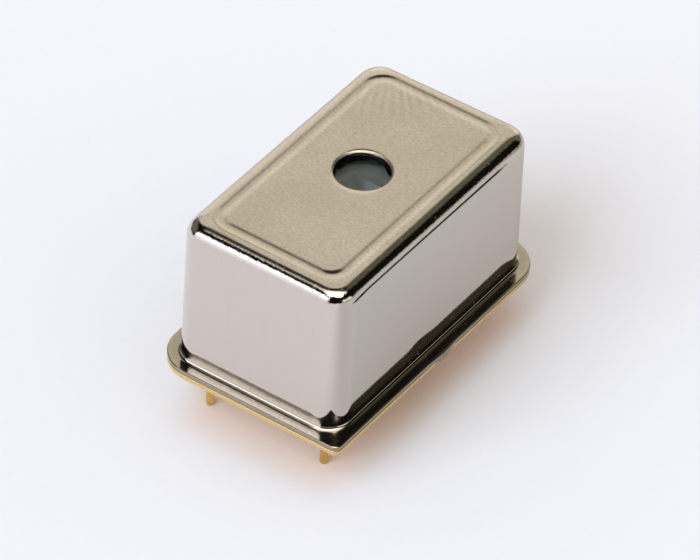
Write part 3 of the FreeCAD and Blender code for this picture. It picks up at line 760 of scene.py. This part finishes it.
# %% [markdown]
# ## The cap
#
# A cap like this is pressed from one round-cornered sheet blank. A punch draws the walls down,
# a ring is coined into the lid to stiffen it, the window hole is punched, and the flange is
# trimmed last.
#
# A box with bevelled edges could stand in for it. But a mirror shows each uneven face, so the
# skin is built from closed outlines that all have the same number of points. Every outline is
# a rectangle with its corner points bevelled. Bridging them in turn gives clean rings of
# four-sided faces, and solidify gives the skin its thickness. Two outlines in one plane may
# be bridged with a twist, so the lid's field waits above its place and is then let down.
#
# Pressed sheet is never quite true, and a mirror tells. The flange springs up a little at its
# outer edge, the lid's edge sags towards the far corner, and the punch rolled the rim of the
# window hole inwards.

# %% An outline with round corners
CORNER_STEPS = 14
LONG_CUTS = 80
SHORT_CUTS = 44


def outline(bm, half_length, half_width, corner, z, index_corner=None):
    """A closed ring of edges: a rectangle with round corners, always with as many points."""
    edges_before = set(bm.edges)
    faces_before = set(bm.faces)
    signs = ((-1, -1), (1, -1), (1, 1), (-1, 1))
    corners = [bm.verts.new(point(x * half_length, y * half_width, z)) for x, y in signs]
    bm.faces.new(corners)
    for verts, radius in ((corners[1:], corner), (corners[:1], index_corner or corner)):
        round_off(bm, verts, radius, CORNER_STEPS, "VERTICES")
    plate = [face for face in bm.faces if face not in faces_before]
    bmesh.ops.delete(bm, geom=plate, context="FACES_ONLY")
    for axis, cuts in ((0, LONG_CUTS), (1, SHORT_CUTS)):
        ring = [edge for edge in bm.edges if edge not in edges_before]
        straight = []
        for edge in ring:
            run = edge.verts[1].co - edge.verts[0].co
            if abs(run[axis]) > half_width * MM and abs(run[1 - axis]) < TOUCH * MM:
                straight.append(edge)
        bmesh.ops.subdivide_edges(bm, edges=straight, cuts=cuts)
    return [edge for edge in bm.edges if edge not in edges_before]


print("Each outline has", 4 * (CORNER_STEPS + 1) + 2 * (LONG_CUTS + SHORT_CUTS), "points")

# %% Press the skin of the cap
RING_HALF_LENGTH = 7.74
RING_HALF_WIDTH = 4.0
RING_CORNER = 1.0
RING_BREADTH = 0.9
RING_DEPTH = 0.06
RING_STEPS = 12
ROLL_BREADTH = 0.14
ROLL_DEPTH = 0.12
ROLL_STEPS = 6
ROLL_CURVE = 1.4
WAITING = 3.0
LEDGE_FOOT = 12.0
EDGE_SAG = (0.15, 0.08, 0.11)
FLANGE_SPRING = 0.028


def coin_ring(bm):
    """The lid's field with its coined ring. Gives the ring's outer and inner edges."""
    half = RING_BREADTH / 2
    sizes = (RING_HALF_LENGTH + half, RING_HALF_WIDTH + half, RING_CORNER + half)
    outer = outline(bm, *sizes, LID_TOP + WAITING)
    field = bmesh.ops.edgeloop_fill(bm, edges=outer)["faces"][0]
    if field.normal.z < 0:
        field.normal_flip()
    bm.normal_update()
    depth_before = 0.0
    for step in range(1, RING_STEPS + 1):
        depth = RING_DEPTH * (1 - math.cos(math.tau * step / RING_STEPS)) / 2
        bmesh.ops.inset_region(
            bm,
            faces=[field],
            thickness=RING_BREADTH / RING_STEPS * MM,
            depth=(depth_before - depth) * MM,
            use_even_offset=True,
            use_boundary=True,
        )
        depth_before = depth
    inner = list(field.edges)
    bmesh.ops.delete(bm, geom=[field], context="FACES_ONLY")
    return outer, inner


def window_outline(bm, points):
    """The edge of the window's hole, with the rolled-in rim that the punch leaves.

    Gives its outer ring of edges, which has as many points as the other outlines.
    """
    edges_before = set(bm.edges)
    centre = point(WINDOW_X, 0, LID_TOP + WAITING)
    radius = WINDOW_RADIUS
    place = Matrix.Translation(centre)
    bmesh.ops.create_circle(bm, segments=points, radius=radius * MM, matrix=place)
    outer = [edge for edge in bm.edges if edge not in edges_before]
    rim = outer
    drop_before = 0.0
    for step in range(1, ROLL_STEPS + 1):
        share = step / ROLL_STEPS
        made = bmesh.ops.extrude_edge_only(bm, edges=rim)["geom"]
        rim = [item for item in made if isinstance(item, bmesh.types.BMEdge) and item.is_boundary]
        verts = [item for item in made if isinstance(item, bmesh.types.BMVert)]
        smaller = (WINDOW_RADIUS - ROLL_BREADTH * share) / radius
        radius *= smaller
        bmesh.ops.scale(bm, vec=(smaller, smaller, 1), space=place.inverted(), verts=verts)
        drop = ROLL_DEPTH * share**ROLL_CURVE
        bmesh.ops.translate(bm, verts=verts, vec=point(0, 0, drop_before - drop))
        drop_before = drop
    return outer


def wall_outline(bm, z):
    """An outline of the walls, which lean in as they rise."""
    lean = DRAW_LEAN * (z - FLANGE_TOP) / (LID_TOP - FLANGE_TOP)
    return outline(bm, WALL_HALF_LENGTH - lean, WALL_HALF_WIDTH - lean, WALL_CORNER - lean, z)


cap_bm = bmesh.new()
sprung = FLANGE_TOP + FLANGE_SPRING
sizes = (FLANGE_HALF_LENGTH, FLANGE_HALF_WIDTH, FLANGE_CORNER)
flange_edge = outline(cap_bm, *sizes, sprung, INDEX_CORNER)
foot_edge = wall_outline(cap_bm, FLANGE_TOP)
ledge_edge = wall_outline(cap_bm, LEDGE_FOOT)
lid_edge = wall_outline(cap_bm, LID_TOP)
for vert in {vert for edge in lid_edge for vert in edge.verts}:
    shares = (1.0, vert.co.x / MM / WALL_HALF_LENGTH, vert.co.y / MM / WALL_HALF_WIDTH)
    sag = sum(amount * share for amount, share in zip(EDGE_SAG, shares))
    vert.co.z -= max(sag, 0.0) * MM
ring_outer, ring_inner = coin_ring(cap_bm)
window_edge = window_outline(cap_bm, len(lid_edge))
pairs = (
    (flange_edge, foot_edge),
    (foot_edge, ledge_edge),
    (ledge_edge, lid_edge),
    (lid_edge, ring_outer),
    (ring_inner, window_edge),
)
for first, second in pairs:
    made = bmesh.ops.bridge_loops(cap_bm, edges=first + second)
    rungs = [edge.calc_length() / MM for edge in made["edges"]]
    print(f"Bridge of {len(made['faces'])} faces, rungs {min(rungs):.2f} to {max(rungs):.2f} mm")
field = [vert for vert in cap_bm.verts if vert.co.z > (LID_TOP + WAITING / 2) * MM]
bmesh.ops.translate(cap_bm, verts=field, vec=point(0, 0, -WAITING))
bmesh.ops.recalc_face_normals(cap_bm, faces=cap_bm.faces)
print("Outlines of", len(lid_edge), "points,", len(cap_bm.faces), "faces")

# %% [markdown]
# The bends come next. The rounding round the lid is large, and mirrors the whole room from
# floor to ceiling. The bend at the foot is tight.

# %% Round the bends
LID_ROUND_STEPS = 20
FOOT_ROUND_STEPS = 8
HALF_BEND = math.radians(44.7)

round_off(cap_bm, lid_edge, LID_ROUND * math.tan(HALF_BEND), LID_ROUND_STEPS)
round_off(cap_bm, foot_edge, FOOT_ROUND * math.tan(HALF_BEND), FOOT_ROUND_STEPS)
print("Bent skin:", len(cap_bm.faces), "faces")

# %% [markdown]
# Along one long side the sheet hung back for a moment while it was drawn. That left a fine
# ledge just under the lid's rounding, which turns down at the near corner and dies away. The
# skin is cut into narrow rings there, and their points are pushed in and out. The walls, the
# flange and the lid's field are cut into rings too, so that their mirror stays even.

# %% Draw the ledge along one long side
LEDGE_RINGS = 12
WALL_RINGS = 16
FLANGE_RINGS = 7
FIELD_RINGS = 16
LEDGE_IN = 0.075
LEDGE_OUT = 0.03
LEDGE_DROP = 0.1
LEDGE_HEIGHTS = (12.86, 12.67, 12.48)
LEDGE_SIDE = -4.9
LEDGE_ZONE = (FLANGE_TOP + 0.3, 12.9)
LEDGE_STARTS = (-8.4, -7.7)
LEDGE_ENDS = (7.6, 5.5)
LEDGE_TURNS_DOWN = (-6.6, -8.2)
LEDGE_SAGS_FROM = -0.5

# The least lengths, in mm, by which the rungs of each part are told from other edges.
WALL_RUNG = 4.0
LEDGE_RUNG = 0.12
FIELD_RUNG = 1.2
FLANGE_RUNG = 0.4


def eased(value, start, end):
    """0 before the start, 1 after the end, with a soft passage between them."""
    share = min(max((value - start) / (end - start), 0.0), 1.0)
    return share * share * (3 - 2 * share)


def ledge(x, height):
    """How far the skin is pushed in at a height, in millimetres."""
    top, middle, foot = LEDGE_HEIGHTS
    sag = EDGE_SAG[1] * max(x / WALL_HALF_LENGTH - LEDGE_SAGS_FROM, 0.0)
    height += LEDGE_DROP * eased(x, *LEDGE_TURNS_DOWN) + sag
    pushed_in = LEDGE_IN * eased(height, top, middle)
    lower_part = min(max((height - FLANGE_TOP) / (LEDGE_FOOT - FLANGE_TOP), 0.0), 1.0)
    pushed_out = (LEDGE_IN + LEDGE_OUT * lower_part) * eased(height, middle, foot)
    return (pushed_in - pushed_out) * eased(x, *LEDGE_STARTS) * eased(x, *LEDGE_ENDS)


rungs = {LEDGE_RINGS: [], WALL_RINGS + 1: [], FLANGE_RINGS: [], FIELD_RINGS: []}
for edge in cap_bm.edges:
    ends = [vert.co / MM for vert in edge.verts]
    lower, upper = sorted(end.z for end in ends)
    rise = upper - lower
    length = (ends[0] - ends[1]).length
    if rise > WALL_RUNG:
        rungs[WALL_RINGS + 1].append(edge)
    elif abs(lower - LEDGE_FOOT) < TOUCH and rise > LEDGE_RUNG:
        rungs[LEDGE_RINGS].append(edge)
    elif lower > LID_TOP - TOUCH and length > FIELD_RUNG:
        rungs[FIELD_RINGS].append(edge)
    elif upper < sprung + TOUCH and length > FLANGE_RUNG:
        rungs[FLANGE_RINGS].append(edge)
for cuts, edges in rungs.items():
    bmesh.ops.subdivide_edges(cap_bm, edges=edges, cuts=cuts, use_grid_fill=True)
    print(len(edges), "rungs cut", cuts, "times")
moved = 0
for vert in cap_bm.verts:
    x, y, z = vert.co / MM
    if y < LEDGE_SIDE and LEDGE_ZONE[0] < z < LEDGE_ZONE[1]:
        vert.co.y += ledge(x, z) * MM
        moved += 1
print("Ledge of", moved, "points,", len(cap_bm.faces), "faces")

# %% [markdown]
# The strip of caps was held together by tabs. Where a tab was sheared off, the flange stands
# out a little in the middle of one long side, and the sheared metal hangs down as a lip. The
# points of the flange's edge are pulled out in one smooth swell, and the lip comes later,
# when the sheet has its thickness.

# %% Leave the mark of the tab
TIE_HALF_BREADTH = 1.5
TIE_LIP = 0.26
LIP_FADE = 0.04


def swell(x):
    """How far the sheared tab stands out, from 0 at its ends to 1 in its middle."""
    share = min(abs(x) / (TIE_HALF_BREADTH * MM), 1.0)
    return math.cos(share * math.pi / 2) ** 2


on_edge = {vert for edge in flange_edge if edge.is_valid for vert in edge.verts}
pulled = [vert for vert in on_edge if vert.co.y < -(FLANGE_HALF_WIDTH - SAME) * MM]
for vert in pulled:
    vert.co.y -= TIE_REACH * swell(vert.co.x) * MM
print("Long edge of", len(pulled), "points, pulled out by up to", round(TIE_REACH, 3), "mm")

# %% Give the sheet its thickness
RIM_STEPS = 4

cap_bm.normal_update()
bmesh.ops.solidify(cap_bm, geom=cap_bm.faces[:], thickness=SHEET * MM)
sharp = [edge for edge in cap_bm.edges if edge.is_manifold and edge.calc_face_angle() > SHARP]
round_off(cap_bm, sharp, RIM_ROUND, RIM_STEPS)
for vert in cap_bm.verts:
    overhang = -vert.co.y / MM - FLANGE_HALF_WIDTH
    if overhang > 0 and vert.co.z < FLANGE_TOP * MM:
        low_part = min((FLANGE_TOP - vert.co.z / MM) / SHEET, 1.0)
        vert.co.z -= TIE_LIP * swell(vert.co.x) * min(overhang / LIP_FADE, 1.0) * low_part * MM
heights = [vert.co.z / MM for vert in cap_bm.verts]
print(f"Sheet from {min(heights):.3f} to {max(heights):.3f} mm, {len(cap_bm.faces)} faces")
finish_piece(cap_bm, "drawn_cap", nickel, "cap")

# %% [markdown]
# ## The stem
#
# The stem is a stamped plate with a raised platform that fits inside the cap, and ten holes
# for the leads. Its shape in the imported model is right, but its edges are knife-sharp. A real
# stamping has slightly rounded ones, which catch the light as a bright golden line. So a copy
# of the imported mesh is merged, its flat triangles are joined to whole faces, and its sharp
# edges are bevelled.

# %% Round the edges of the stem
STEM_EDGE = 0.05
STEM_EDGE_STEPS = 3
PLATFORM_HALF = (9.1, 5.3)


def copy_of(node):
    """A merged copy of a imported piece, with whole flat faces."""
    bm = bmesh.new()
    bm.from_mesh(bpy.data.objects[node].data)
    bmesh.ops.remove_doubles(bm, verts=bm.verts[:], dist=SAME * MM)
    bmesh.ops.dissolve_limit(
        bm,
        angle_limit=FLAT,
        use_dissolve_boundaries=False,
        verts=bm.verts[:],
        edges=bm.edges[:],
    )
    return bm


stem_bm = copy_of("stem")
rim = []
for edge in stem_bm.edges:
    ends = [vert.co / MM for vert in edge.verts]
    outside = all(abs(end.x) > PLATFORM_HALF[0] or abs(end.y) > PLATFORM_HALF[1] for end in ends)
    if outside and edge.is_manifold and edge.calc_face_angle() > SHARP:
        rim.append(edge)
round_off(stem_bm, rim, STEM_EDGE, STEM_EDGE_STEPS)
finish_piece(stem_bm, "stamped_stem", gold_plate, "stem")

# %% [markdown]
# ## The leads
#
# Each lead is a straight wire, cut to length after plating, so its tip has a small rounded
# burr-free end. A circle is extruded upwards, and its foot is bevelled. The wires stand in
# two rows of five, and each one runs through the stem to the wiring plate.

# %% Cut ten wires
LEAD_TIP_ROUND = 0.07
LEAD_TIP_STEPS = 4
LEAD_SEGMENTS = 32
LEAD_COUNT = 10


def raise_disc(bm, x, y, z, radius, height, segments):
    """A solid disc or rod that stands on a point. All sizes are in millimetres."""
    foot = Matrix.Translation(point(x, y, z))
    bmesh.ops.create_circle(bm, cap_ends=True, segments=segments, radius=radius * MM, matrix=foot)
    raised = bmesh.ops.extrude_face_region(bm, geom=bm.faces[:])["geom"]
    tops = [item for item in raised if isinstance(item, bmesh.types.BMVert)]
    bmesh.ops.translate(bm, verts=tops, vec=point(0, 0, height))
    bmesh.ops.recalc_face_normals(bm, faces=bm.faces)


def make_lead(number):
    node = f"lead_{number}"
    foot, top = low(node), high(node)
    x, y = (foot.x + top.x) / 2, (foot.y + top.y) / 2
    bm = bmesh.new()
    raise_disc(bm, x, y, foot.z, (top.x - foot.x) / 2, top.z - foot.z, LEAD_SEGMENTS)
    level = (foot.z + TOUCH) * MM
    tip = [edge for edge in bm.edges if max(vert.co.z for vert in edge.verts) < level]
    round_off(bm, tip, LEAD_TIP_ROUND, LEAD_TIP_STEPS)
    finish_piece(bm, f"wire_{number}", gold_wire, node)


for number in range(1, LEAD_COUNT + 1):
    make_lead(number)

# %% [markdown]
# ## The glass beads
#
# A bead of glass was fused round each lead, in the stem's hole. Molten glass creeps up the
# wire and up the wall of the hole, so its two faces are shallow hollows. A profile with that
# hollow is spun round the lead.

# %% Fuse ten beads
HOLLOW = 0.1
BEAD_SEGMENTS = 32


def spin_section(bm, section, centre, steps):
    """Spin a closed section, given as radii and heights over a centre, round its upright axis."""
    verts = [bm.verts.new(point(centre[0] + radius, centre[1], centre[2] + z)) for radius, z in section]
    edges = [bm.edges.new((verts[i], verts[(i + 1) % len(verts)])) for i in range(len(verts))]
    bmesh.ops.spin(
        bm,
        geom=verts + edges,
        cent=point(*centre),
        axis=(0, 0, 1),
        angle=math.tau,
        steps=steps,
        use_merge=True,
    )
    bmesh.ops.recalc_face_normals(bm, faces=bm.faces)


def make_bead(number):
    node = f"glass_bead_{number}"
    foot, top = low(node), high(node)
    centre = (foot + top) / 2
    outer = (top.x - foot.x) / 2
    inner = (high(f"lead_{number}").x - low(f"lead_{number}").x) / 2
    half = (top.z - foot.z) / 2
    bm = bmesh.new()
    creep = ((0.0, 0.0), (0.25, 0.75), (0.5, 1.0), (0.75, 0.75), (1.0, 0.0))
    section = [(inner + share * (outer - inner), half - HOLLOW * dip) for share, dip in creep]
    section += [(radius, -z) for radius, z in reversed(section)]
    spin_section(bm, section, centre, BEAD_SEGMENTS)
    finish_piece(bm, f"fused_bead_{number}", bead_glass, node)


for number in range(1, LEAD_COUNT + 1):
    make_bead(number)

# %% [markdown]
# ## The window
#
# The window is a polished glass disc, ground and chamfered at its edge. It hangs under the
# lid in a ring of dark sealing glass, which melted and crept a little into the opening. That
# ragged inner edge shows as the black wavy band behind the rim of the hole.

# %% Grind the window disc
PANE_CHAMFER = 0.08
PANE_CHAMFER_STEPS = 2
PANE_SEGMENTS = 96

foot, top = low("window_glass"), high("window_glass")
pane_bm = bmesh.new()
raise_disc(pane_bm, WINDOW_X, 0, foot.z, (top.x - foot.x) / 2, top.z - foot.z, PANE_SEGMENTS)
corners = [edge for edge in pane_bm.edges if edge.calc_face_angle() > SHARP]
round_off(pane_bm, corners, PANE_CHAMFER, PANE_CHAMFER_STEPS)
finish_piece(pane_bm, "window_pane", window_glass, "window_glass", smooth=False)

# %% Melt the sealing ring
SEAL_SEGMENTS = 180
SEAL_BREADTH = 1.0
SEAL_FILLET = 0.03
SEAL_HOLLOW = 0.04
SEAL_CREEP = 0.2
SEAL_WAVES = 1.9
SEAL_PLACE = Vector((4, 7, 1))

foot, top = low("window_seal"), high("window_seal")
seal_outer = (top.x - foot.x) / 2
seal_inner = seal_outer - SEAL_BREADTH
seal_bm = bmesh.new()
section = [(seal_inner, foot.z), (seal_outer, foot.z), (seal_outer, top.z)]
section += [(seal_inner + SEAL_FILLET, top.z), (seal_inner + SEAL_HOLLOW, (foot.z + top.z) / 2)]
spin_section(seal_bm, section, (WINDOW_X, 0, 0), SEAL_SEGMENTS)
for vert in seal_bm.verts:
    outwards = Vector((vert.co.x - WINDOW_X * MM, vert.co.y, 0))
    if outwards.length < (seal_inner + SEAL_FILLET + TOUCH) * MM:
        wander = noise.noise(outwards / MM * SEAL_WAVES + SEAL_PLACE)
        vert.co -= outwards.normalized() * SEAL_CREEP * wander * MM
finish_piece(seal_bm, "seal_ring", sealing_glass, "window_seal")
